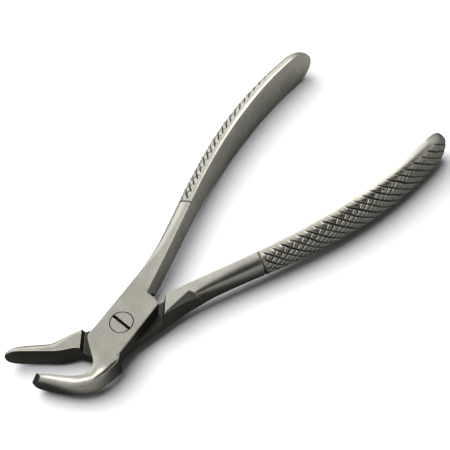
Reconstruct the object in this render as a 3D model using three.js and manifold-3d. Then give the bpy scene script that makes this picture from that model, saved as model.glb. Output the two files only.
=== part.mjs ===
// Dental extraction forceps, English lower pattern: two forged halves crossed in a lap joint
// and held by one slotted screw. Millimetres, +Z up.
// Origin: on the pivot axis, in the plane of the joint's underside. +X runs to the handles.
// The rest position is the open one; each half is drawn where it lies at rest.

import * as THREE from 'three';
import { mergeVertices } from 'three/addons/utils/BufferGeometryUtils.js';
import Module from 'manifold-3d';

const wasm = await Module();
wasm.setup();

// Driving dimensions
const JOINT_THICKNESS = 7.2;
const MIDDLE = JOINT_THICKNESS / 2;      // the lap plane, and the middle of both handles
const LAP_GAP = 0.1;                     // between the two plates of the lap
const HEAD_DIAMETER = 6.5;               // screw head, flush in the upper plate
const HEAD_HEIGHT = 1.9;
const SHANK_DIAMETER = 4.6;
const THREAD_DIAMETER = 4.0;
const RUNNING_CLEARANCE = 0.05;          // radial, round the screw
const SLOT_WIDTH = 0.85;
const SLOT_DEPTH = 0.9;
const LAP_ANGLE = 48;                    // degrees from +X to the normal of the lap's shoulder walls
const LAP_HALF_WIDTH = 11.9;             // from the pivot to a shoulder wall, at the outer face
const WALL_DRAFT = 0.31;                 // the walls lean in by this much for each mm of depth
const LAP_HALF_LENGTH = 16;
const NOTCH_RADIUS = 11.6;               // the plate's corner turns inside the other half's wall
const NOTCH_BOX = { width: 14, length: 12, x: 11.2, y: -5 };   // reach of the notch's cut, in plan
const GRIP_HEIGHT = 13.0;
const TIP_X = 107.3;                     // end of the handles
const TIP_LENGTH = 8;                    // length of the rounded end
const BEAK_TOP = MIDDLE + 2.0;           // the beaks sit lower than the joint
const BEAK_BOTTOM = MIDDLE - 5.5;

const steel = (color, roughness) =>
  new THREE.MeshStandardMaterial({ color, roughness, metalness: 1 });

// A closed surface through rings of equal point counts, its ends closed by fans
function loft(rings) {
  const count = rings[0].length;
  const points = rings.flat();
  const index = [];
  for (let ring = 0; ring + 1 < rings.length; ring++) {
    for (let k = 0; k < count; k++) {
      const a = ring * count + k;
      const b = ring * count + ((k + 1) % count);
      index.push(a, b, b + count, a, b + count, a + count);
    }
  }
  for (const [ring, flip] of [[0, true], [rings.length - 1, false]]) {
    const centre = points.length;
    const middle = new THREE.Vector3();
    rings[ring].forEach((point) => middle.addScaledVector(point, 1 / count));
    points.push(middle);
    for (let k = 0; k < count; k++) {
      const a = ring * count + k;
      const b = ring * count + ((k + 1) % count);
      index.push(centre, flip ? b : a, flip ? a : b);
    }
  }
  const geometry = new THREE.BufferGeometry().setFromPoints(points);
  geometry.setIndex(index);
  return geometry;
}

function toSolid(source) {
  const bare = source.clone();
  bare.deleteAttribute('normal');
  bare.deleteAttribute('uv');
  const merged = mergeVertices(bare, 1e-4);
  const solid = (vertices) => new wasm.Manifold(new wasm.Mesh({
    numProp: 3,
    vertProperties: new Float32Array(merged.attributes.position.array),
    triVerts: new Uint32Array(vertices),
  }));
  const triangles = Array.from(merged.index.array);
  const result = solid(triangles);
  return result.volume() > 0 ? result : solid(triangles.reverse());
}

function toGeometry(solid) {
  const mesh = solid.getMesh();
  const geometry = new THREE.BufferGeometry();
  geometry.setAttribute('position', new THREE.BufferAttribute(mesh.vertProperties, 3));
  geometry.setIndex(new THREE.BufferAttribute(mesh.triVerts, 1));
  return geometry;
}

// Smooth value through a list of [position, value] pairs, level past both ends
function along(table, x) {
  const last = table.length - 1;
  const at = THREE.MathUtils.clamp(x, table[0][0], table[last][0]);
  let k = 0;
  while (k < last - 1 && at > table[k + 1][0]) k++;
  const slope = (i) => {
    if (i === 0 || i === last) return 0;
    return (table[i + 1][1] - table[i - 1][1]) / (table[i + 1][0] - table[i - 1][0]);
  };
  const [x0, v0] = table[k];
  const [x1, v1] = table[k + 1];
  const width = x1 - x0;
  const t = (at - x0) / width;
  const rise = t * t * (3 - 2 * t);
  const bend = slope(k) * t * (1 - t) * (1 - t) - slope(k + 1) * t * t * (1 - t);
  return v0 + (v1 - v0) * rise + width * bend;
}

// D section: a flat inner face through `inner`, and a back that bulges to `outer`.
// A high power makes the back square, 2 makes it a half ellipse.
function section(inner, outer, top, bottom, power, steps = 22) {
  const ring = [];
  for (let k = 0; k <= steps; k++) {
    const turn = Math.PI * (k / steps - 0.5);
    const out = Math.pow(Math.max(0, Math.cos(turn)), 2 / power);
    const side = Math.sin(turn);
    const height = Math.sign(side) * Math.pow(Math.abs(side), 2 / power);
    ring.push(new THREE.Vector3(
      THREE.MathUtils.lerp(inner.x, outer.x, out),
      THREE.MathUtils.lerp(inner.y, outer.y, out),
      (top + bottom) / 2 + height * (top - bottom) / 2,
    ));
  }
  return ring;
}

// The inner face of a handle in plan, as a smooth curve
const handleLine = new THREE.SplineCurve([
  [14, 2.6], [26, 7.3], [38, 12.2], [50, 16.8], [62, 20.6],
  [74, 23.4], [86, 25.3], [98, 26.0], [TIP_X, 25.7],
].map(([x, y]) => new THREE.Vector2(x, y)));
const handleHeights = [
  [16, JOINT_THICKNESS], [34, 7.9], [52, 9.5], [71, 11.8], [90, GRIP_HEIGHT], [101, GRIP_HEIGHT],
];
const handleDepths = [[14, 5.3], [20, 4.5], [48, 4.8], [72, 5.1], [84, 4.7], [97, 4.2], [TIP_X, 4.0]];
const handlePowers = [[17, 14], [24, 6], [32, 3.4], [44, 2.4], [TIP_X, 2.3]];

function handle() {
  const rings = [];
  const stations = 40;
  for (let k = 0; k <= stations; k++) {
    const t = 0.02 + 0.98 * Math.sin((k / stations) * Math.PI / 2);
    const inner = handleLine.getPoint(t);
    const tangent = handleLine.getTangent(t);
    const end = Math.min(TIP_X - 0.02, inner.x);
    const past = THREE.MathUtils.clamp((end - TIP_X + TIP_LENGTH) / TIP_LENGTH, 0, 1);
    const taper = Math.sqrt(1 - past * past);
    const depth = along(handleDepths, inner.x) * Math.pow(taper, 0.6);
    const height = along(handleHeights, inner.x) * taper;
    const outer = new THREE.Vector2(inner.x - tangent.y * depth, inner.y + tangent.x * depth);
    const power = along(handlePowers, inner.x);
    rings.push(section(inner, outer, MIDDLE + height / 2, MIDDLE - height / 2, power));
  }
  return toSolid(loft(rings));
}

// The block of the joint before the lap is cut, from the beak's root to the handle's root
function block() {
  const outline = new THREE.Shape();
  outline.moveTo(-8.8, 4.3);
  outline.lineTo(-8.6, -6.9);
  const corner = THREE.MathUtils.degToRad(-18.5);
  const root = THREE.MathUtils.degToRad(9);
  outline.lineTo(NOTCH_RADIUS * Math.cos(corner), NOTCH_RADIUS * Math.sin(corner));
  outline.absarc(0, 0, NOTCH_RADIUS, corner, root, false);
  outline.lineTo(14, 2.6);
  outline.lineTo(19, 4.55);
  outline.lineTo(17.6, 8.95);
  outline.lineTo(-8.8, 4.3);
  return toSolid(new THREE.ExtrudeGeometry(outline, {
    depth: JOINT_THICKNESS,
    bevelEnabled: false,
    curveSegments: 12,
  }));
}

// The milled lap: it takes the upper or the lower plate of a half away, between two leaning walls
function lap() {
  const normal = THREE.MathUtils.degToRad(LAP_ANGLE);
  const rings = [MIDDLE + LAP_GAP / 2, -JOINT_THICKNESS].map((z) => {
    const half = LAP_HALF_WIDTH - WALL_DRAFT * z;
    return [[-1, -1], [1, -1], [1, 1], [-1, 1]].map(([across, length]) => new THREE.Vector3(
      across * half * Math.cos(normal) - length * LAP_HALF_LENGTH * Math.sin(normal),
      across * half * Math.sin(normal) + length * LAP_HALF_LENGTH * Math.cos(normal),
      z,
    ));
  });
  return toSolid(loft(rings));
}

// The notch's corner leans like the walls do, as a cone about the pivot
function notchCone() {
  const foot = NOTCH_RADIUS - WALL_DRAFT * MIDDLE;
  const profile = [[0, MIDDLE], [foot, MIDDLE], [NOTCH_RADIUS, JOINT_THICKNESS], [0, JOINT_THICKNESS]];
  const points = profile.map(([r, z]) => new THREE.Vector2(r, z));
  return new THREE.LatheGeometry(points, 72).rotateX(Math.PI / 2);
}

function beak(stations) {
  return toSolid(loft(stations.map(([ix, iy, ox, oy, top, bottom, power]) => section(
    new THREE.Vector2(ix, iy), new THREE.Vector2(ox, oy), top, bottom, power))));
}

const upperBeak = () => beak([
  // inner x, y, outer x, y, top, bottom, squareness
  [-6.0, 4.8, -6.6, -6.5, JOINT_THICKNESS, 0, 14],
  [-8.8, 4.3, -8.9, -7.9, JOINT_THICKNESS, 0, 14],
  [-10.4, 2.2, -11.2, -8.0, JOINT_THICKNESS, 0, 10],
  [-11.4, 0.5, -13.4, -7.9, 7.1, -0.3, 7],
  [-12.4, -1.2, -15.4, -7.5, 6.9, -0.8, 5],
  [-13.6, -2.6, -17.4, -6.9, 6.5, -1.2, 4],
  [-15.4, -3.4, -19.3, -5.8, 6.1, -1.5, 3],
  [-17.4, -3.0, -21.2, -4.2, 5.8, -1.7, 2.6],
  [-19.2, -1.5, -22.8, -2.3, BEAK_TOP, -1.8, 2.4],
  [-20.8, 0.4, -24.2, -0.2, BEAK_TOP, BEAK_BOTTOM, 2.3],
  [-22.4, 2.7, -25.4, 2.0, BEAK_TOP, BEAK_BOTTOM, 2.3],
  [-23.8, 4.8, -26.6, 4.3, BEAK_TOP, BEAK_BOTTOM, 2.3],
  [-25.0, 6.6, -27.6, 6.5, BEAK_TOP - 0.3, BEAK_BOTTOM + 0.3, 2.3],
  [-25.5, 7.3, -27.7, 7.4, BEAK_TOP - 1.0, BEAK_BOTTOM + 1.0, 2.3],
]);
const lowerBeak = () => beak([
  [-5.0, -4.9, -5.4, 6.2, JOINT_THICKNESS, 0, 14],
  [-8.8, -4.0, -7.6, 7.6, 6.6, 0, 14],
  [-11.0, -0.9, -8.7, 8.3, BEAK_TOP, -0.3, 14],
  [-12.2, 1.9, -10.4, 9.1, BEAK_TOP, -0.8, 12],
  [-13.2, 4.8, -12.6, 10.0, BEAK_TOP, -1.4, 8],
  [-15.6, 6.8, -14.2, 10.9, BEAK_TOP, -1.8, 5],
  [-17.7, 8.6, -16.2, 12.0, BEAK_TOP, BEAK_BOTTOM, 3.2],
  [-20.4, 11.8, -18.2, 14.0, BEAK_TOP, BEAK_BOTTOM, 2.5],
  [-22.6, 14.4, -20.4, 16.4, BEAK_TOP, BEAK_BOTTOM, 2.3],
  [-24.8, 17.0, -23.0, 18.7, BEAK_TOP, BEAK_BOTTOM, 2.3],
  [-26.4, 18.5, -25.2, 19.9, BEAK_TOP - 0.4, BEAK_BOTTOM + 0.5, 2.3],
  [-27.6, 19.3, -26.8, 20.2, BEAK_TOP - 1.6, BEAK_BOTTOM + 1.6, 2.3],
]);

const turned = (radius, low, high, segments = 64) => {
  const geometry = new THREE.CylinderGeometry(radius, radius, high - low, segments);
  return toSolid(geometry.rotateX(Math.PI / 2).translate(0, 0, (low + high) / 2));
};

// Handle, block and lap are the same on both halves: the lower one is the upper one rolled over
function crossing() {
  const low = MIDDLE - LAP_GAP;
  const box = new THREE.BoxGeometry(NOTCH_BOX.width, NOTCH_BOX.length, JOINT_THICKNESS);
  const corner = toSolid(box.translate(NOTCH_BOX.x, NOTCH_BOX.y, low + JOINT_THICKNESS / 2));
  return block().subtract(corner.subtract(toSolid(notchCone()))).add(handle());
}

function rolledOver(solid) {
  const geometry = toGeometry(solid);
  return toSolid(geometry.translate(0, 0, -MIDDLE).rotateX(Math.PI).translate(0, 0, MIDDLE));
}

// A hole for the screw, from `low` up through the outer face
function bore(diameter, low) {
  return turned(diameter / 2 + RUNNING_CLEARANCE, low, 2 * JOINT_THICKNESS);
}

function upperHalf() {
  const shank = bore(SHANK_DIAMETER, -JOINT_THICKNESS);
  const seat = bore(HEAD_DIAMETER, JOINT_THICKNESS - HEAD_HEIGHT - RUNNING_CLEARANCE);
  return crossing().add(upperBeak()).subtract(lap()).subtract(shank.add(seat));
}

function lowerHalf() {
  const forging = rolledOver(crossing()).add(lowerBeak());
  return forging.subtract(rolledOver(lap())).subtract(bore(THREAD_DIAMETER, -JOINT_THICKNESS));
}

function pivotScrew() {
  const body = turned(THREAD_DIAMETER / 2, 0, JOINT_THICKNESS)
    .add(turned(SHANK_DIAMETER / 2, MIDDLE + LAP_GAP / 2, JOINT_THICKNESS))
    .add(turned(HEAD_DIAMETER / 2, JOINT_THICKNESS - HEAD_HEIGHT, JOINT_THICKNESS));
  const slot = new THREE.BoxGeometry(SLOT_WIDTH, 2 * HEAD_DIAMETER, 2 * SLOT_DEPTH);
  return body.subtract(toSolid(slot.translate(0, 0, JOINT_THICKNESS)));
}

const forceps = new THREE.Group();
function addPiece(name, solid, material) {
  const mesh = new THREE.Mesh(toGeometry(solid), material);
  mesh.name = name;
  forceps.add(mesh);
}
addPiece('upper_half', upperHalf(), steel(0xb7b4a8, 0.32));
addPiece('lower_half', lowerHalf(), steel(0xb0ada2, 0.34));
addPiece('pivot_screw', pivotScrew(), steel(0xc2c0b6, 0.28));

export default forceps;
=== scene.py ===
import math

import bpy
import numpy as np
from mathutils import Matrix, Vector

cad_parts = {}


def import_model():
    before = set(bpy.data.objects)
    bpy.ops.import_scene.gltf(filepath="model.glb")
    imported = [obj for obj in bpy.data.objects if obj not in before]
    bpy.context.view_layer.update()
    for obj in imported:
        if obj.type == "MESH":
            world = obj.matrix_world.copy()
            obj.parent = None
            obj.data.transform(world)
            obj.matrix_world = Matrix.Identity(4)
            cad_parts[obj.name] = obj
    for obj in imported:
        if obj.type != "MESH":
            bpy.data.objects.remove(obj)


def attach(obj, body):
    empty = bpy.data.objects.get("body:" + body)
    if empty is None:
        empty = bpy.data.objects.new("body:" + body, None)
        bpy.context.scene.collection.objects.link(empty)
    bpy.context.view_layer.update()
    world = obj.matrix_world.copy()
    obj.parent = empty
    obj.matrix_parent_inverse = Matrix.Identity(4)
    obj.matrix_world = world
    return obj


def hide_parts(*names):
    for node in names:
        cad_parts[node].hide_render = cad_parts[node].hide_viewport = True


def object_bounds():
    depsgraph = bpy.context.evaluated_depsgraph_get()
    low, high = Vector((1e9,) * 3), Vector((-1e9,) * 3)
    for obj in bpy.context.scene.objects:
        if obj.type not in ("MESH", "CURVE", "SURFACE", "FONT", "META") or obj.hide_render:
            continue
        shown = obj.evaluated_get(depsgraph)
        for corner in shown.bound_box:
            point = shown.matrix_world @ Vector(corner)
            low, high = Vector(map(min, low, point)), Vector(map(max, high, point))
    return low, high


# Dental extraction forceps, English lower pattern. The meshes are made in millimetres in the
# frame of the CAD model and become metres at the end. z = 0 is the underside of the joint.

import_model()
cad_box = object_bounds()

MM = 0.001
THICKNESS = 7.2                 # joint
MIDDLE = THICKNESS / 2          # lap plane, and the middle of both handles
LAP_GAP = 0.1
HEAD_RADIUS = 3.25
HEAD_HEIGHT = 1.9
SHANK_RADIUS = 2.3
THREAD_RADIUS = 2.0
CLEARANCE = 0.05                # radial, round the shank and the thread
SCREW_GAP = 0.17                # radial, the ring that shows round the head
RIM = 0.05                      # chamfer at the mouth of a hole
SCREW_CROWN = 0.1               # chamfer at both ends of the screw
SLOT_WIDTH = 0.85
SLOT_DEPTH = 0.9
SLOT_FLARE = 0.06               # chamfer along the slot
LAP_NORMAL = math.radians(48)   # from +X to the normal of the lap's shoulder walls
LAP_HALF_WIDTH = 11.9
WALL_DRAFT = 0.31
LAP_HALF_LENGTH = 16
LAP_FILLET = 0.12               # at the foot of a shoulder wall
NOTCH_RADIUS = 11.6             # the plate's corner turns inside the other half's wall
NOTCH_START = math.radians(-18.5)
NOTCH_END = math.radians(9)
NOTCH_BOX = ((4.2, -11), (18.2, 2.6))   # reach of the notch's cut, in plan
SIDE_START = np.array((-8.6, -6.9))     # the plate's long side, from the beak to the notch
SIDE_END = NOTCH_RADIUS * np.array((math.cos(NOTCH_START), math.sin(NOTCH_START)))
FACET_START = Vector((8.0, 7.05, 0))    # filed facet on the handle's root
FACET_END = Vector((19.4, 7.15, 0))
FACET_WIDTH = 6
FACET_SLOPE = math.radians(36)
FACET_LEAN = 0.35
EDGE = 0.22                     # chamfer along the joint's edges
CORNER = 0.22                   # rounding along a handle's inner face
TIP_X = 107.3
TIP_LENGTH = 8
BEAK_TOP = MIDDLE + 2.0
BEAK_BOTTOM = MIDDLE - 5.5
BEAK_HOLLOW = 0.7               # hollow of a beak's inner face
BEAK_CORNER = 0.14              # rounding along a beak's inner face

# Knurl: two sets of cuts cross the back of the grips
UPPER_RING_X = 41.3             # the ring groove in front of the knurl, on each half
LOWER_RING_X = 40.8
RING_HALF_WIDTH = 0.36
RING_DEPTH = 0.26
CUT_DEPTH = 0.52
BURR = 0.24                     # raised lip along one side of a cut, as a share of its depth
CUT_FADE = (84, 102)            # the cuts grow shallower between these places on the handle
CUT_FADED = 0.36                # by this share
CUT_BORDER = ((45, 0.5), (70, 0.8), (86, 1.4), (98, 2.0))   # smooth steel beside the inner face
CUT_SETS = (    # pitch along the handle, slope, half width, lip's side, more border: top, bottom
    (2.6, math.radians(38), 0.42, 0, 0.0, 1.5),
    (2.85, math.radians(-45), 0.44, -1, 0.2, 0.0),
)


# ---------------------------------------------------------------- mesh helpers

def spline(table, t):
    """Catmull-Rom curve through the rows of table; t runs from 0 to 1."""
    rows = np.asarray(table, float)
    last = len(rows) - 1
    at = np.clip(np.asarray(t, float), 0, 1) * last
    k = np.minimum(at.astype(int), last - 1)
    u = (at - k)[:, None]
    before = rows[np.maximum(k - 1, 0)]
    after = rows[np.minimum(k + 2, last)]
    a, b = rows[k], rows[k + 1]
    va, vb = (b - before) / 2, (after - a) / 2
    return (2 * (a - b) + va + vb) * u**3 + (3 * (b - a) - 2 * va - vb) * u**2 + va * u + a


def along(table, x):
    """Smooth value through [position, value] pairs, level past both ends."""
    xs, vs = np.asarray(table, float).T
    slopes = np.zeros(len(xs))
    slopes[1:-1] = (vs[2:] - vs[:-2]) / (xs[2:] - xs[:-2])
    at = np.clip(np.asarray(x, float), xs[0], xs[-1])
    k = np.clip(np.searchsorted(xs, at) - 1, 0, len(xs) - 2)
    width = xs[k + 1] - xs[k]
    t = (at - xs[k]) / width
    rise = t * t * (3 - 2 * t)
    bend = slopes[k] * t * (1 - t) ** 2 - slopes[k + 1] * t * t * (1 - t)
    return vs[k] + (vs[k + 1] - vs[k]) * rise + width * bend


def smoothstep(low, high, x):
    """0 below low, 1 above high, and smooth between them."""
    t = np.clip((x - low) / (high - low), 0, 1)
    return t * t * (3 - 2 * t)


def make_object(name, points, faces):
    mesh = bpy.data.meshes.new(name)
    mesh.from_pydata([tuple(p) for p in points], [], faces)
    mesh.validate()
    ob = bpy.data.objects.new(name, mesh)
    bpy.context.scene.collection.objects.link(ob)
    return ob


def loft(name, rings, cut=None):
    """A closed surface through rings of equal point counts, with a flat face over each end."""
    rings = np.asarray(rings, float)
    count, size = rings.shape[:2]
    points = rings.reshape(-1, 3)
    faces = [tuple(range(size))[::-1], tuple(range((count - 1) * size, count * size))]
    for ring in range(count - 1):
        for k in range(size):
            a = ring * size + k
            b = ring * size + (k + 1) % size
            faces.append((a, b, b + size, a + size))
    ob = make_object(name, points, faces)
    if signed_volume(ob.data) < 0:
        ob.data.flip_normals()
    # each point's share of painted shade, read by the steel's colour
    shade = ob.data.attributes.new("cut", "FLOAT", "POINT")
    if cut is not None:
        shade.data.foreach_set("value", np.asarray(cut, np.float32).ravel())
    return ob


def signed_volume(mesh):
    mesh.calc_loop_triangles()
    points = np.array([v.co for v in mesh.vertices])
    corners = points[np.array([t.vertices for t in mesh.loop_triangles])]
    return np.einsum("ij,ij->i", corners[:, 0], np.cross(corners[:, 1], corners[:, 2])).sum() / 6


def combine(target, tool, operation):
    """Joins the tool to the target or cuts it away, and removes the tool."""
    modifier = target.modifiers.new("combine", "BOOLEAN")
    modifier.operation = operation
    modifier.solver = "MANIFOLD"
    modifier.object = tool
    graph = bpy.context.evaluated_depsgraph_get()
    result = bpy.data.meshes.new_from_object(target.evaluated_get(graph))
    target.modifiers.clear()
    target.data = result
    bpy.data.objects.remove(tool)
    return target


def turned(name, profile):
    """A body of revolution about Z: profile is a list of (radius, z), from the bottom up."""
    angles = np.linspace(0, 2 * math.pi, 128, endpoint=False)
    rings = [[(r * math.cos(a), r * math.sin(a), z) for a in angles] for r, z in profile]
    return loft(name, rings)


def inset(outline, by):
    """The outline moved inwards, for a chamfer; outline runs anticlockwise."""
    points = np.asarray(outline, float)
    ahead = np.roll(points, -1, 0) - points
    ahead /= np.linalg.norm(ahead, axis=1)[:, None]
    normal = np.stack([-ahead[:, 1], ahead[:, 0]], 1)
    before = np.roll(normal, 1, 0)
    return points + by * (normal + before) / (1 + (normal * before).sum(1))[:, None]


def prism(name, outline, low, high, chamfer):
    """The outline's plate from low to high, chamfered along both faces."""
    levels = ((low, chamfer), (low + chamfer, 0), (high - chamfer, 0), (high, chamfer))
    rings = []
    for z, by in levels:
        plan = inset(outline, by)
        rings.append(np.column_stack([plan, np.full(len(plan), z)]))
    return loft(name, rings)


def roll_over(ob):
    """Half a turn about the X axis through the middle of the joint."""
    turn = Matrix.Translation((0, 0, MIDDLE)) @ Matrix.Rotation(math.pi, 4, "X")
    ob.data.transform(turn @ Matrix.Translation((0, 0, -MIDDLE)))
    return ob


# ---------------------------------------------------------------- sections

def back_curve(depth, height, power, corner, count):
    """Half of a D section from the top edge round the back to the bottom edge, evenly spaced.
    Columns: outwards from the inner face, up from the middle."""
    turn = np.linspace(math.pi / 2, -math.pi / 2, 600)
    out = depth * np.maximum(np.cos(turn), 0) ** (2 / power)
    up = height / 2 * np.sign(np.sin(turn)) * np.abs(np.sin(turn)) ** (2 / power)
    keep = out >= corner
    out, up = out[keep], up[keep]
    length = np.append(0, np.cumsum(np.hypot(np.diff(out), np.diff(up))))
    at = np.linspace(0, length[-1], count)
    return np.interp(at, length, out), np.interp(at, length, up), at


def section(depth, height, power, corner, count, hollow=0.0, flat=9):
    """A closed D section; the inner face can be hollow. Also gives the way round the back."""
    corner = min(corner, depth * 0.3, height * 0.2)
    out, up, at = back_curve(depth, height, power, corner, count)
    turn = np.linspace(0, math.pi / 2, 5)[:-1]
    edge_out = corner * (1 - np.cos(turn))
    edge_up = up[0] - corner * (1 - np.sin(turn))
    face = np.linspace(-1, 1, flat)[1:-1]
    half = up[0] - corner
    face_out = hollow * (1 - face**2)
    out = np.concatenate([edge_out, out, edge_out[::-1], face_out])
    up = np.concatenate([edge_up, up, -edge_up[::-1], face * half])
    way = np.concatenate([np.zeros(4), at, np.full(4, at[-1]), np.full(flat - 2, -1.0)])
    return out, up, way


# ---------------------------------------------------------------- handle

HANDLE_LINE = ((8.4, 0.4), (14, 2.6), (26, 7.3), (38, 12.2), (50, 16.8), (62, 20.6), (74, 23.4),
               (86, 25.3), (98, 26.0), (TIP_X, 25.7))
HANDLE_HEIGHTS = ((16, 7.196), (34, 7.9), (52, 9.5), (71, 11.8), (90, 13.0), (101, 13.0))
HANDLE_DEPTHS = ((14, 5.3), (20, 4.5), (48, 4.8), (72, 5.1), (84, 4.7), (97, 4.2), (109, 4.0))
HANDLE_POWERS = ((17, 14), (23, 5), (30, 2.8), (44, 2.4), (70, 2.6), (109, 2.7))
HANDLE_START = 10.6             # inside the joint's block
BACK_POINTS = 140
SHANK_STEP = 0.8
GRIP_STEP = 0.13
TIP_STEPS = 76


def handle_stations(ring_x):
    """Positions along the inner line: wide steps on the shank, fine ones through the knurl."""
    t = np.linspace(0, 1, 4000)
    line = spline(HANDLE_LINE, t)
    fine = ring_x - 1.5
    shank = np.arange(HANDLE_START, fine, SHANK_STEP)
    grip = np.arange(fine, TIP_X - TIP_LENGTH, GRIP_STEP)
    tip = TIP_X - TIP_LENGTH * (1 - np.sin(np.linspace(0, math.pi / 2 - 0.02, TIP_STEPS)))
    x = np.concatenate([shank, grip, tip])
    return np.interp(x, line[:, 0], t), x


def knurl(s, way, total, smooth):
    """Depth of the cuts at each point of a ring, as a share of CUT_DEPTH; a lip is below zero.
    s is the place along the handle, way the way round the back, smooth the smooth border.
    The cuts wander a little, in place and in depth, as cuts made by hand do."""
    across = way - total / 2
    depth = np.zeros_like(way)
    burr = np.zeros_like(way)
    for number, (pitch, slope, half_width, lip, top, bottom) in enumerate(CUT_SETS):
        wander = 0.10 * np.sin(0.61 * s + 1.7 * number) + 0.07 * np.sin(1.43 * across + 0.37 * s)
        phase = (s - across / math.tan(slope) + wander) / pitch
        line = np.floor(phase + 0.5)
        signed = (phase - line) * pitch * abs(math.sin(slope))
        off = np.abs(signed)
        border = np.minimum(way - top, total - bottom - way) - smooth
        strength = smoothstep(0, 1.5, border) * (0.88 + 0.12 * np.sin(2.4 * line + number))
        width = half_width * (0.45 + 0.55 * strength)
        depth = np.maximum(depth, strength * smoothstep(0, 1, 1 - off / width))
        raised = strength * abs(lip) * np.exp(-((signed * lip - 1.2 * width) / 0.16) ** 2)
        burr = np.maximum(burr, raised)
    return depth - BURR * burr * (1 - depth)


def handle(name, ring_x):
    """A handle with its ring groove at ring_x and its knurl from there to the tip."""
    t, x = handle_stations(ring_x)
    inner = spline(HANDLE_LINE, t)
    tangent = spline(HANDLE_LINE, t + 1e-4) - spline(HANDLE_LINE, t - 1e-4)
    tangent /= np.linalg.norm(tangent, axis=1)[:, None]
    step = np.linalg.norm(np.diff(inner, axis=0), axis=1)
    run = np.append(0, np.cumsum(step))
    past = np.clip((x - TIP_X + TIP_LENGTH) / TIP_LENGTH, 0, 1)
    taper = np.sqrt(np.maximum(1 - past**2, 0))
    depths = along(HANDLE_DEPTHS, x) * taper**0.6
    heights = along(HANDLE_HEIGHTS, x) * taper
    powers = along(HANDLE_POWERS, x)
    borders = along(CUT_BORDER, x)
    rings, cuts = [], []
    for k in range(len(x)):
        out, up, way = section(depths[k], heights[k], powers[k], CORNER, BACK_POINTS)
        grip = smoothstep(ring_x + 0.4, ring_x + 1.2, x[k]) * smoothstep(0, 0.35, taper[k])
        grip *= 1 - CUT_FADED * smoothstep(*CUT_FADE, x[k])
        cut = np.where(way > 0, knurl(run[k], way, way.max(), borders[k]) * grip, 0)
        ring = smoothstep(0, 1, 1 - abs(x[k] - ring_x) / RING_HALF_WIDTH) * (way >= 0)
        sink = cut * CUT_DEPTH * min(1, taper[k] * 1.5) + ring * RING_DEPTH
        inward = np.column_stack([np.gradient(up), -np.gradient(out)])
        inward /= np.maximum(np.linalg.norm(inward, axis=1), 1e-9)[:, None]
        normal = np.array([-tangent[k, 1], tangent[k, 0]])
        plan = inner[k] + (out + inward[:, 0] * sink)[:, None] * normal
        rings.append(np.column_stack([plan, MIDDLE + up + inward[:, 1] * sink]))
        # painted shade in the cuts and in the ring groove
        cuts.append(np.maximum(smoothstep(0.1, 0.55, cut), ring))
    return loft(name, rings, cuts)


# ---------------------------------------------------------------- joint

def block_outline():
    arc = [(NOTCH_RADIUS * math.cos(a), NOTCH_RADIUS * math.sin(a))
           for a in np.linspace(NOTCH_START, NOTCH_END, 24)]
    side = [tuple(SIDE_START * (1 - t) + SIDE_END * t) for t in np.linspace(0, 1, 21)[:-1]]
    return [(-8.8, 4.3), *side, *arc, (12.2, 2.2), (13.4, 3.4), (19, 5.8), (17.9, 8.6)]


def joint_block(name):
    """The joint of one half before its lap is milled, with the notch's corner cut to a cone."""
    body = prism(name, block_outline(), 0, THICKNESS, EDGE)
    (x0, y0), (x1, y1) = NOTCH_BOX
    plan = ((x0, y0), (x1, y0), (x1, y1), (x0, y1))
    corner = loft("corner", [[(x, y, z) for x, y in plan] for z in (MIDDLE, THICKNESS + 1)])
    past = 2                    # the cone runs past the block by this much at both ends
    cone = turned("cone", [
        (NOTCH_RADIUS - WALL_DRAFT * (MIDDLE + past), MIDDLE - past),
        (NOTCH_RADIUS - WALL_DRAFT * EDGE, THICKNESS - EDGE),
        (NOTCH_RADIUS - EDGE, THICKNESS),
        (NOTCH_RADIUS - EDGE, THICKNESS + past),
    ])
    return combine(body, combine(corner, cone, "DIFFERENCE"), "DIFFERENCE")


def lap_tool(name):
    """The milled lap: leaning walls, a small fillet at their feet, a flare at the outer face."""
    floor = MIDDLE + LAP_GAP / 2
    levels = []                 # height, and how far the walls stand back from their slope there
    for a in np.linspace(0, math.pi / 2, 6):
        levels.append((floor - LAP_FILLET * (1 - math.cos(a)), -LAP_FILLET * (1 - math.sin(a))))
    levels += [(EDGE, 0), (0, EDGE), (-1, 2 * EDGE), (-9, 9)]
    along_wall = Vector((-math.sin(LAP_NORMAL), math.cos(LAP_NORMAL), 0)) * LAP_HALF_LENGTH
    across = Vector((math.cos(LAP_NORMAL), math.sin(LAP_NORMAL), 0))
    rings = []
    for z, wider in levels:
        half = LAP_HALF_WIDTH - WALL_DRAFT * z + wider
        level = Vector((0, 0, z))
        rings.append([a * half * across + b * along_wall + level
                      for a, b in ((-1, -1), (1, -1), (1, 1), (-1, 1))])
    return loft(name, rings)


def root_facet(name):
    """A filed facet on the outer lower corner of the handle's root, beside the shoulder wall."""
    rise = FACET_WIDTH * math.tan(FACET_SLOPE)
    wedge = ((0, 0), (FACET_WIDTH, rise), (FACET_WIDTH, -3), (0, -3))
    return loft(name, [[(p.x + lean * out, p.y + out, up) for out, up in wedge]
                       for p, lean in ((FACET_START, 0), (FACET_END, FACET_LEAN))])


def crossing(name, ring_x):
    body = combine(joint_block(name), handle("handle", ring_x), "UNION")
    return combine(body, root_facet("facet"), "DIFFERENCE")


# ---------------------------------------------------------------- beaks

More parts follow.
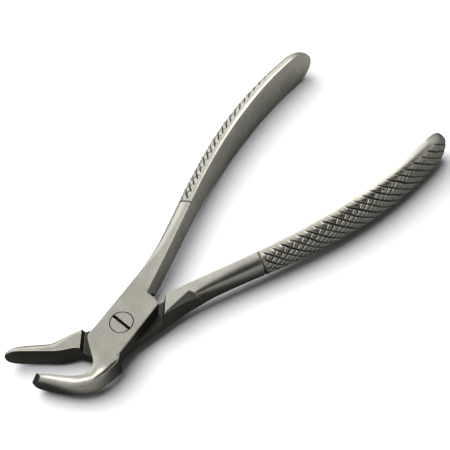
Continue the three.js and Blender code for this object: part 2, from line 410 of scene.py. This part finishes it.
def beak(name, stations):
    """Loft through the stations: inner x, y, outer x, y, top, bottom, squareness of the back."""
    rings = []
    steps = np.linspace(0, 1, (len(stations) - 1) * 7 + 1)
    for t, row in zip(steps, spline(stations, steps)):
        inner, outer = row[:2], row[2:4]
        top, bottom, power = row[4:]
        depth = np.linalg.norm(outer - inner)
        direction = (outer - inner) / depth
        hollow = BEAK_HOLLOW * min(1, depth / 3) * smoothstep(0.3, 0.6, t)
        out, up, _ = section(depth, top - bottom, power, BEAK_CORNER, 61, hollow, 19)
        plan = inner + out[:, None] * direction
        rings.append(np.column_stack([plan, (top + bottom) / 2 + up]))
    return loft(name, rings)


UPPER_BEAK = (
    (-6.0, 4.8, -6.6, -6.5, 7.196, 0.004, 14),
    (-8.8, 4.3, -8.9, -7.9, 7.196, 0.004, 14),
    (-10.4, 2.2, -11.2, -8.0, 7.196, 0.004, 10),
    (-11.4, 0.5, -13.4, -7.9, 7.1, -0.3, 7),
    (-12.4, -1.2, -15.4, -7.5, 6.9, -0.8, 5),
    (-13.6, -2.6, -17.4, -6.9, 6.5, -1.2, 4),
    (-15.4, -3.4, -19.3, -5.8, 6.1, -1.5, 3),
    (-17.4, -3.0, -21.2, -4.2, 5.8, -1.7, 2.6),
    (-19.2, -1.5, -22.8, -2.3, BEAK_TOP, -1.8, 2.4),
    (-20.8, 0.4, -24.2, -0.2, BEAK_TOP, BEAK_BOTTOM, 2.3),
    (-22.4, 2.7, -25.4, 2.0, BEAK_TOP, BEAK_BOTTOM, 2.3),
    (-23.8, 4.8, -26.6, 4.3, BEAK_TOP, BEAK_BOTTOM, 2.3),
    (-24.9, 6.7, -27.65, 6.5, BEAK_TOP - 0.2, BEAK_BOTTOM + 0.3, 2.3),
    (-25.5, 7.8, -27.75, 7.8, BEAK_TOP - 0.9, BEAK_BOTTOM + 1.0, 2.3),
)
LOWER_BEAK = (
    (-5.0, -4.9, -5.4, 6.2, 7.196, 0.004, 14),
    (-8.8, -4.0, -7.6, 7.6, 6.6, 0.04, 14),
    (-11.0, -0.9, -8.7, 8.3, BEAK_TOP, -0.3, 14),
    (-12.2, 1.9, -10.4, 9.1, BEAK_TOP, -0.8, 12),
    (-13.2, 4.8, -12.6, 10.0, BEAK_TOP, -1.4, 8),
    (-15.6, 6.8, -14.2, 10.9, BEAK_TOP, -1.8, 5),
    (-17.7, 8.6, -16.2, 12.0, BEAK_TOP, BEAK_BOTTOM, 3.2),
    (-20.4, 11.8, -18.2, 14.0, BEAK_TOP, BEAK_BOTTOM, 2.5),
    (-22.6, 14.4, -20.4, 16.4, BEAK_TOP, BEAK_BOTTOM, 2.3),
    (-24.8, 17.0, -23.0, 18.7, BEAK_TOP - 0.05, BEAK_BOTTOM + 0.2, 2.3),
    (-26.1, 18.25, -24.8, 19.6, BEAK_TOP - 0.4, BEAK_BOTTOM + 0.8, 2.3),
    (-27.1, 19.0, -26.2, 20.0, BEAK_TOP - 1.0, BEAK_BOTTOM + 1.9, 2.3),
    (-27.6, 19.35, -27.1, 20.0, BEAK_TOP - 1.9, BEAK_BOTTOM + 3.2, 2.3),
    (-27.75, 19.45, -27.5, 19.8, BEAK_TOP - 2.7, BEAK_BOTTOM + 4.1, 2.3),
)

# The small flat ground on the upper beak's point
TIP_NORMAL = Vector((-0.663, 0.255, 0.703)).normalized()
TIP_CENTRE = Vector((-26.65, 6.2, 4.36))


def tip_cut(name):
    side = TIP_NORMAL.cross(Vector((0, 0, 1))).normalized()
    up = side.cross(TIP_NORMAL)
    reach = 4
    corners = ((-reach, -reach), (reach, -reach), (reach, reach), (-reach, reach))
    return loft(name, [[TIP_CENTRE + TIP_NORMAL * height + side * a + up * b for a, b in corners]
                       for height in (0, reach + 1)])


# ---------------------------------------------------------------- the three pieces

def shade_long_side(ob):
    """The joint's long side gets painted shade where it stands over the other half's floor."""
    shade = ob.data.attributes["cut"]
    ahead = (SIDE_END - SIDE_START) / np.linalg.norm(SIDE_END - SIDE_START)
    for k, vertex in enumerate(ob.data.vertices):
        x, y, z = vertex.co
        off = ahead[0] * (y - SIDE_START[1]) - ahead[1] * (x - SIDE_START[0])
        if abs(off) < 0.02 and abs(x) < NOTCH_RADIUS - 0.4 and 0 < z < THICKNESS:
            # painted shade, stronger towards the notch
            shade.data[k].value = 0.95 * float(smoothstep(-3.0, 2.0, x))
    return ob


def upper_half():
    body = crossing("upper_forging", UPPER_RING_X)
    body = combine(body, beak("upper_beak", UPPER_BEAK), "UNION")
    body = combine(body, tip_cut("tip_cut"), "DIFFERENCE")
    body = combine(body, lap_tool("lap"), "DIFFERENCE")
    shank = SHANK_RADIUS + CLEARANCE
    head = HEAD_RADIUS + SCREW_GAP
    seat = THICKNESS - HEAD_HEIGHT - CLEARANCE
    body = combine(body, turned("shank_hole", [(shank, -3), (shank, THICKNESS)]), "DIFFERENCE")
    profile = [(head, seat), (head, THICKNESS - RIM), (head + 2 * RIM, THICKNESS + RIM)]
    return shade_long_side(combine(body, turned("head_hole", profile), "DIFFERENCE"))


def lower_half():
    body = roll_over(crossing("lower_forging", LOWER_RING_X))
    body = combine(body, beak("lower_beak", LOWER_BEAK), "UNION")
    body = combine(body, roll_over(lap_tool("lap")), "DIFFERENCE")
    thread = THREAD_RADIUS + CLEARANCE
    profile = [(thread + 2 * RIM, -RIM), (thread, RIM), (thread, THICKNESS + 1)]
    return combine(body, turned("thread_hole", profile), "DIFFERENCE")


def pivot_screw():
    seat = THICKNESS - HEAD_HEIGHT
    lap = MIDDLE + LAP_GAP / 2
    body = turned("screw_body", [
        (THREAD_RADIUS - SCREW_CROWN, 0), (THREAD_RADIUS, SCREW_CROWN), (THREAD_RADIUS, lap),
        (SHANK_RADIUS, lap), (SHANK_RADIUS, seat), (HEAD_RADIUS, seat),
        (HEAD_RADIUS, THICKNESS - SCREW_CROWN), (HEAD_RADIUS - SCREW_CROWN, THICKNESS),
    ])
    half = SLOT_WIDTH / 2
    wide = half + 2 * SLOT_FLARE
    bottom, low, high = THICKNESS - SLOT_DEPTH, THICKNESS - SLOT_FLARE, THICKNESS + SLOT_FLARE
    profile = ((half, bottom), (half, low), (wide, high),
               (-wide, high), (-half, low), (-half, bottom))
    ends = (-2 * HEAD_RADIUS, 2 * HEAD_RADIUS)
    slot = loft("slot", [[(x, y, z) for x, z in profile] for y in ends])
    return combine(body, slot, "DIFFERENCE")


# ---------------------------------------------------------------- faces painted dark: painted shade on the lap, in the ring gap and the slot, and the tip's flat

def near_wall(face, side):
    """On the lap's floor or on one of its two leaning walls; side is 1 for the upper half."""
    centre, normal = face.center, face.normal
    y, z = centre.y * side, MIDDLE + (centre.z - MIDDLE) * side
    inside = abs(centre.x) < LAP_HALF_LENGTH + 2 and abs(y) < LAP_HALF_LENGTH - 2
    if abs(z - MIDDLE) < LAP_GAP and abs(normal.z) > 0.9:
        return inside
    across = abs(centre.x * math.cos(LAP_NORMAL) + y * math.sin(LAP_NORMAL))
    on_wall = abs(across - LAP_HALF_WIDTH + WALL_DRAFT * z) < 0.06
    leaning = abs(normal.x * math.cos(LAP_NORMAL) + normal.y * side * math.sin(LAP_NORMAL)) > 0.8
    return inside and z < MIDDLE and on_wall and leaning


def round_screw(face):
    """On the walls of the ring gap between the screw's head and its hole."""
    radius = math.hypot(face.center.x, face.center.y)
    return abs(radius - HEAD_RADIUS) < SCREW_GAP + 0.06 and face.center.z < THICKNESS - 0.02


# painted shade on the lap and in the ring gap round the screw's head; the tip's flat is painted
# dark as well
def upper_painted_shade(face):
    above_flat = (face.center - TIP_CENTRE).dot(TIP_NORMAL)
    on_tip = abs(above_flat) < 0.01 and face.normal.dot(TIP_NORMAL) > 0.95
    return near_wall(face, 1) or round_screw(face) or on_tip


# painted shade on the lap's floor and walls
def lower_painted_shade(face):
    return near_wall(face, -1)


# painted shade in the slot and on the side of the head
def screw_painted_shade(face):
    above_floor = face.center.z - THICKNESS + SLOT_DEPTH
    between = abs(face.center.x) < SLOT_WIDTH / 2 + 0.01
    in_slot = between and -0.01 < above_floor < SLOT_DEPTH - 0.05
    return in_slot or round_screw(face)


def finish_piece(ob, name, material, painted_shade_material, in_painted_shade, node, body):
    ob.name = name
    ob.data.name = name
    ob.data.materials.clear()
    ob.data.materials.append(material)
    ob.data.materials.append(painted_shade_material)
    # the faces the test picks take the second material, painted dark for shade
    for face in ob.data.polygons:
        face.material_index = int(in_painted_shade(face))
    ob.data.transform(Matrix.Scale(MM, 4))
    ob.data.polygons.foreach_set("use_smooth", [True] * len(ob.data.polygons))
    ob.data.set_sharp_from_angle(angle=math.radians(32))
    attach(ob, body)
    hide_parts(node)


# ---------------------------------------------------------------- materials

class Nodes:
    """Short calls for building one node tree. Every input is a number, a tuple or an output."""

    def __init__(self, tree):
        self.tree = tree

    def feed(self, socket, value):
        if isinstance(value, bpy.types.NodeSocket):
            self.tree.links.new(value, socket)
        else:
            socket.default_value = value

    def add(self, kind, inputs=(), output=0, **settings):
        node = self.tree.nodes.new(kind)
        for key, value in settings.items():
            setattr(node, key, value)
        for key, value in dict(inputs).items():
            self.feed(node.inputs[key], value)
        return node.outputs[output]

    def math(self, operation, a, b=0.0):
        return self.add("ShaderNodeMath", {0: a, 1: b}, operation=operation)

    def dot(self, a, b):
        return self.add("ShaderNodeVectorMath", {0: a, 1: b}, "Value", operation="DOT_PRODUCT")

    def place(self):
        return self.add("ShaderNodeTexCoord", output="Object")

    def scaled(self, vector, scale):
        return self.add("ShaderNodeMapping", {"Vector": vector, "Scale": scale})

    def part(self, vector, axis):
        return self.add("ShaderNodeSeparateXYZ", {"Vector": vector}, axis)

    def noise(self, vector, scale, detail=2.0):
        return self.add("ShaderNodeTexNoise", {"Vector": vector, "Scale": scale, "Detail": detail})

    def span(self, value, low, high, to_low, to_high, shape="LINEAR"):
        return self.add("ShaderNodeMapRange", {
            "Value": value, "From Min": low, "From Max": high, "To Min": to_low, "To Max": to_high,
        }, interpolation_type=shape)

    def mix(self, factor, a, b):
        return self.add("ShaderNodeMix", {0: factor, 2: a, 3: b})

    def blend(self, factor, a, b):
        return self.add("ShaderNodeMix", {0: factor, 6: a, 7: b}, 2, data_type="RGBA")

    def bump(self, height, strength, distance, normal=None):
        inputs = {"Height": height, "Strength": strength, "Distance": distance}
        if normal is not None:
            inputs["Normal"] = normal
        return self.add("ShaderNodeBump", inputs)


class Material(Nodes):
    """One material: its node tree, and the inputs of its shader."""

    def __init__(self, name):
        self.material = bpy.data.materials.new(name)
        self.material.use_nodes = True
        super().__init__(self.material.node_tree)
        self.shader = self.tree.nodes["Principled BSDF"]

    def set(self, socket, value):
        self.feed(self.shader.inputs[socket], value)


GRAIN_SCALE = 5200              # noise scales are per metre
CLOUD_SCALE = 240
PATCH_SCALE = 60
STREAK_SCALE = (60, 2600, 2600)
EDGE_ROUNDING_RADIUS = 0.00014         # width of the rounded edges, and of the highlight painted along them
# colour of the highlight painted along the rounded edges
EDGE_HIGHLIGHT_COLOUR = (0.88, 0.86, 0.78, 1)
# colour of the painted shade in the knurl's cuts, the ring groove and on the joint's long side
PAINTED_SHADE_COLOUR = (0.05, 0.048, 0.042, 1)
CUTTER_MARKS = 24000            # fine rings of the milling cutter, radians per metre


def satin_steel(name, colour, roughness):
    """Blasted stainless steel: fine grain, cloudy patches, a painted highlight along the rounded
    edges, and painted shade, rougher too, in the cuts and on the joint's long side.
    """
    m = Material(name)
    place = m.place()
    grain = m.noise(place, GRAIN_SCALE, 3)
    cloud = m.noise(place, CLOUD_SCALE, 4)
    patches = m.noise(place, PATCH_SCALE, 2)
    streaks = m.noise(m.scaled(place, STREAK_SCALE), 1.0, 3)
    rounded = m.add("ShaderNodeBevel", {"Radius": EDGE_ROUNDING_RADIUS}, samples=4)
    flat = m.add("ShaderNodeNewGeometry", output="Normal")
    edge = m.span(m.dot(rounded, flat), 0.998, 0.93, 0, 1)
    cut = m.add("ShaderNodeAttribute", output="Fac", attribute_name="cut")
    light = tuple(min(1, c * 1.12) for c in colour) + (1,)
    dark = tuple(c * 0.90 for c in colour) + (1,)
    base = m.blend(m.span(cloud, 0.3, 0.7, 0, 1), dark, light)
    base = m.blend(m.span(grain, 0.35, 0.65, 0, 0.25), base, dark)
    base = m.blend(m.span(streaks, 0.4, 0.7, 0, 0.25), base, light)
    # painted highlight along the rounded edges
    base = m.blend(m.math("MULTIPLY", edge, 0.55), base, EDGE_HIGHLIGHT_COLOUR)
    # painted shade where the attribute is set: the cuts, the ring groove and the joint's long side
    base = m.blend(m.math("MULTIPLY", cut, 0.9), base, PAINTED_SHADE_COLOUR)
    m.set("Base Color", base)
    rough = m.math("ADD", m.span(patches, 0.3, 0.7, -0.03, 0.04), roughness)
    rough = m.math("ADD", rough, m.span(grain, 0.3, 0.7, -0.03, 0.03))
    rough = m.math("SUBTRACT", rough, m.math("MULTIPLY", edge, 0.06))
    m.set("Roughness", m.math("ADD", rough, m.math("MULTIPLY", cut, 0.15)))
    m.set("Metallic", 1.0)
    blasted = m.bump(grain, 0.16, 0.00004, rounded)
    m.set("Normal", m.bump(streaks, 0.10, 0.00005, blasted))
    return m.material


def painted_shade_steel(name, colour, roughness):
    """Steel painted dark for shade, with the fine turned marks of the cutter."""
    m = Material(name)
    place = m.place()
    flat = m.scaled(place, (1, 1, 0))
    radius = m.add("ShaderNodeVectorMath", {0: flat}, "Value", operation="LENGTH")
    rings = m.math("SINE", m.math("MULTIPLY", radius, CUTTER_MARKS))
    grain = m.noise(place, 3000, 3)
    dark = tuple(c * 0.7 for c in colour) + (1,)
    m.set("Base Color", m.blend(m.span(grain, 0.3, 0.7, 0, 1), dark, (*colour, 1)))
    m.set("Roughness", m.math("ADD", m.span(grain, 0.3, 0.7, -0.05, 0.05), roughness))
    m.set("Metallic", 1.0)
    m.set("Normal", m.bump(rings, 0.2, 0.00002))
    return m.material


# ---------------------------------------------------------------- stage

FLOOR_SIZE = 3.0
FLOOR_COLOUR = (0.36, 0.362, 0.37, 1)
FLOOR_MIRRORED = (0.012, 0.125)     # the floor as the steel mirrors it: in shade, in the light
DOME_HORIZON = 0.30
DOME_TOP = 0.72
BACKDROP = 0.95
LOBES = (                       # direction, full inside these degrees, gone outside these, level
    ((0.17, 0.93, 0.30), 15, 45, 1.25),
    ((-0.20, -0.97, 0.10), 14, 34, 0.36),
    ((-0.03, -0.52, 0.85), 26, 40, 0.0),
    ((-0.32, 0.08, 0.94), 7, 21, 2.7),
    ((0.36, 0.47, 0.80), 10, 26, 0.62),
)


def stage():
    """A pale floor. In the steel's reflections it carries painted shade near the joint and painted
    light in three places:
    between the handles, in front of the beaks, and to the right of the right handle."""
    low = cad_box[0][2]
    corners = ((-1, -1), (1, -1), (1, 1), (-1, 1))
    points = [(x * FLOOR_SIZE, y * FLOOR_SIZE, low) for x, y in corners]
    floor = make_object("floor", points, [(0, 1, 2, 3)])
    m = Material("floor")
    place = m.place()
    x, y = m.part(place, "X"), m.part(place, "Y")
    between = m.math("MULTIPLY", m.span(x, -0.012, 0.045, 0, 1), m.span(y, -0.012, 0.0, 0, 1))
    front = m.math("MULTIPLY", m.span(x, -0.008, -0.018, 0, 0.8), m.span(y, -0.002, -0.010, 0, 1))
    right = m.span(y, -0.018, -0.038, 0, 0.5)
    share = m.math("MAXIMUM", m.math("MAXIMUM", between, front), right)
    glossy = m.add("ShaderNodeLightPath", output="Is Glossy Ray")
    # painted reflection: glossy rays see a darker floor, painted lighter by share
    m.set("Base Color", m.blend(glossy, FLOOR_COLOUR, m.span(share, 0, 1, *FLOOR_MIRRORED)))
    m.set("Roughness", 0.9)
    m.set("Specular IOR Level", 0.0)
    floor.data.materials.append(m.material)


def world():
    """A studio painted on the sky: a grey dome, soft lights and dark flags, each a round lobe."""
    studio = bpy.data.worlds.new("studio")
    bpy.context.scene.world = studio
    studio.use_nodes = True
    n = Nodes(studio.node_tree)
    direction = n.add("ShaderNodeTexCoord", output="Generated")
    sky = n.span(n.part(direction, "Z"), 0.0, 0.8, DOME_HORIZON, DOME_TOP)
    for axis, inner, outer, level in LOBES:
        facing = n.dot(direction, Vector(axis).normalized())
        edge, full = math.cos(math.radians(outer)), math.cos(math.radians(inner))
        sky = n.mix(n.span(facing, edge, full, 0, 1, "SMOOTHSTEP"), sky, level)
    seen = n.add("ShaderNodeLightPath", output="Is Camera Ray")
    n.feed(n.tree.nodes["Background"].inputs["Color"], n.mix(seen, sky, BACKDROP))


def disk_light(name, direction, target, distance, size, power):
    """A round light that faces the target from this direction; lengths in millimetres."""
    light = bpy.data.lights.new(name, "AREA")
    light.shape = "DISK"
    light.size = size * MM
    light.energy = power
    ob = bpy.data.objects.new(name, light)
    towards = Vector(direction).normalized()
    ob.location = (Vector(target) + towards * distance) * MM
    ob.rotation_euler = towards.to_track_quat("Z", "Y").to_euler()
    bpy.context.scene.collection.objects.link(ob)
    return ob


def floor_light(**place):
    """A large soft light that reaches the floor only; the steel sees the painted studio."""
    disk_light("floor_light", **place).visible_glossy = False


def softbox(**place):
    """A small light near the grips, seen only as a reflection."""
    ob = disk_light("softbox", **place)
    ob.visible_camera = False
    ob.visible_diffuse = False


LENS = 104
AZIMUTH = math.radians(-37.2)
ELEVATION = math.radians(53.55)
ROLL = math.radians(-11.29)
AIM = Vector((43.5, 2.5, 3.6))
DISTANCE = 376.9


def camera():
    data = bpy.data.cameras.new("camera")
    data.sensor_width = 36
    data.lens = LENS
    ob = bpy.data.objects.new("camera", data)
    bpy.context.scene.collection.objects.link(ob)
    back = Vector((math.sin(AZIMUTH) * math.cos(ELEVATION),
                   -math.cos(AZIMUTH) * math.cos(ELEVATION), math.sin(ELEVATION)))
    ob.location = (AIM + back * DISTANCE) * MM
    turn = back.to_track_quat("Z", "Y").to_matrix() @ Matrix.Rotation(ROLL, 3, "Z")
    ob.rotation_euler = turn.to_euler()
    bpy.context.scene.camera = ob


camera()
bpy.context.scene.view_settings.view_transform = "Standard"
world()
floor_light(direction=(0.0, 0.38, 0.92), target=(0, 0, 0), distance=900, size=1100, power=33)
softbox(direction=(0.36, 0.47, 0.80), target=(88, 0, 9), distance=150, size=95, power=0.05)
softbox(direction=(0.25, 0.17, 0.95), target=(99, -25, 10), distance=80, size=42, power=0.0052)
stage()

steel = satin_steel("satin_steel", (0.585, 0.57, 0.49), 0.28)
ground = satin_steel("screw_steel", (0.60, 0.585, 0.51), 0.26)
# painted shade for the lap, the ring gap round the screw's head, and the tip's flat
milled_in_painted_shade = painted_shade_steel("painted_shade_steel", (0.095, 0.093, 0.083), 0.42)
# painted shade for the screw's slot and the side of its head
slot_painted_shade = painted_shade_steel("slot_painted_shade", (0.035, 0.034, 0.032), 0.5)

finish_piece(upper_half(), "upper_half_steel", steel, milled_in_painted_shade, upper_painted_shade,
             "upper_half", "upper_half")
finish_piece(lower_half(), "lower_half_steel", steel, milled_in_painted_shade, lower_painted_shade,
             "lower_half", "lower_half")
finish_piece(pivot_screw(), "screw_steel", ground, slot_painted_shade, screw_painted_shade,
             "pivot_screw", "lower_half")

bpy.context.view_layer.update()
